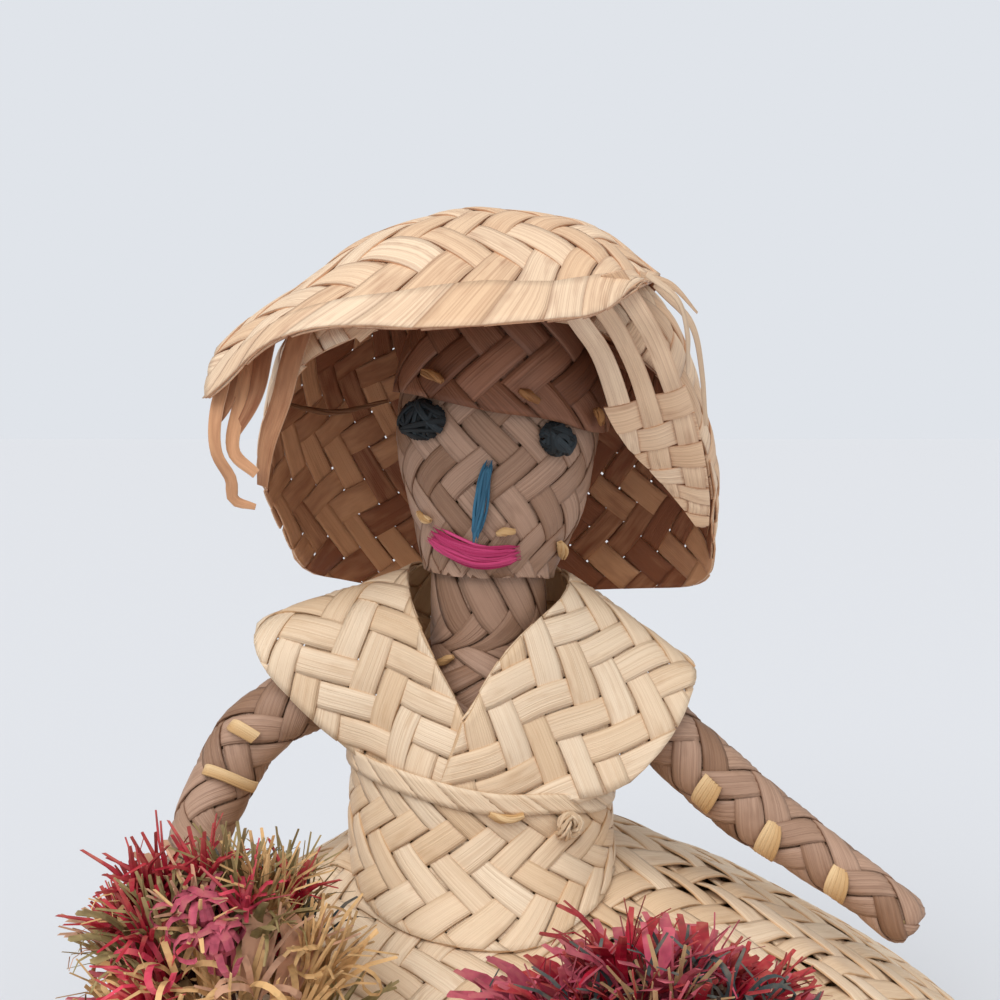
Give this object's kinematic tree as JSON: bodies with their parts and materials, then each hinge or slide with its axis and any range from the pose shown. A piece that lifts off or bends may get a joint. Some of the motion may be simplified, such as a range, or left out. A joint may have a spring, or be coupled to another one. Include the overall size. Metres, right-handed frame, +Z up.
{
  "type": "straw doll",
  "caption": "Plaited straw doll with a round skirt, fitted bodice, lapelled collar, brown head and swinging arms, a torn tilting hat and bouquets of dyed shredded straw.",
  "frame": {"origin": "centre of the skirt's hem on the floor", "axes": "+Z up; the face looks along -Y; +X is the doll's own left. The torso stands 16 mm to the doll's right of the hem's centre."},
  "size_m": [0.224, 0.224, 0.2073],
  "materials": {
    "natural_straw": "plaited strips of pale, split leaf with a satin sheen",
    "brown_straw": "plaited strips of dyed brown leaf, dull satin",
    "raffia": "golden raffia strands, dry and fibrous",
    "dark_raffia": "dark grey raffia, coiled",
    "blue_raffia": "blue raffia strand",
    "pink_raffia": "pink raffia strands",
    "core_straw": "rolled leaf, mostly hidden",
    "dyed_straw": "shredded straw dyed red, pink, olive and grey"
  },
  "bodies": {
    "body": {"skirt": "natural_straw", "bodice": "natural_straw", "torso_roll": "core_straw", "neck_sheath": "brown_straw", "collar_left": "natural_straw", "collar_right": "natural_straw", "neck_stitch": "raffia", "bodice_stitch": "raffia", "bodice_knot": "raffia", "skirt_bunch": "dyed_straw", "skirt_bunch_tie": "raffia"},
    "head": {"head_sheath": "brown_straw", "head_stuffing": "core_straw", "headwrap": "brown_straw", "left_eye_knot": "dark_raffia", "right_eye_knot": "dark_raffia", "nose_stitch": "blue_raffia", "mouth_stitch": "pink_raffia", "lip_stitch": "raffia", "cheek_stitch_left": "raffia", "cheek_stitch_right": "raffia", "brow_stitch_left": "raffia", "brow_stitch_right": "raffia", "temple_stitch": "raffia"},
    "hat": {"hat_crown": "natural_straw", "hat_front_brim": "natural_straw", "hat_side_strip_1": "natural_straw", "hat_side_strip_2": "natural_straw", "hat_side_strip_3": "natural_straw", "hat_frayed_strip_1": "natural_straw", "hat_frayed_strip_2": "natural_straw", "hat_frayed_strip_3": "natural_straw", "hat_frayed_strip_4": "natural_straw", "hat_tie_left": "raffia", "hat_tie_right": "raffia"},
    "left_arm": {"left_arm_sheath": "brown_straw", "left_arm_core": "core_straw", "left_arm_lacing": "raffia"},
    "right_arm": {"right_arm_sheath": "brown_straw", "right_arm_core": "core_straw", "right_arm_lacing": "raffia", "hand_bunch": "dyed_straw", "hand_bunch_tie": "raffia"}
  },
  "joints": [
    {"name": "head_turn", "type": "hinge", "parent": "body", "child": "head", "pos_m": [-0.014, 0, 0.131], "axis": [0.0698, 0, 0.9976], "range_deg": [-20, 20]},
    {"name": "hat_tilt", "type": "hinge", "parent": "head", "child": "hat", "pos_m": [-0.014, 0, 0.166], "axis": [-1, 0, 0], "range_deg": [-4, 10]},
    {"name": "left_arm_swing", "type": "hinge", "parent": "body", "child": "left_arm", "pos_m": [0.0095, 0, 0.102], "axis": [-1, 0, 0], "range_deg": [-20, 15]},
    {"name": "right_arm_swing", "type": "hinge", "parent": "body", "child": "right_arm", "pos_m": [-0.0415, 0, 0.104], "axis": [-1, 0, 0], "range_deg": [0, 30]}
  ]
}
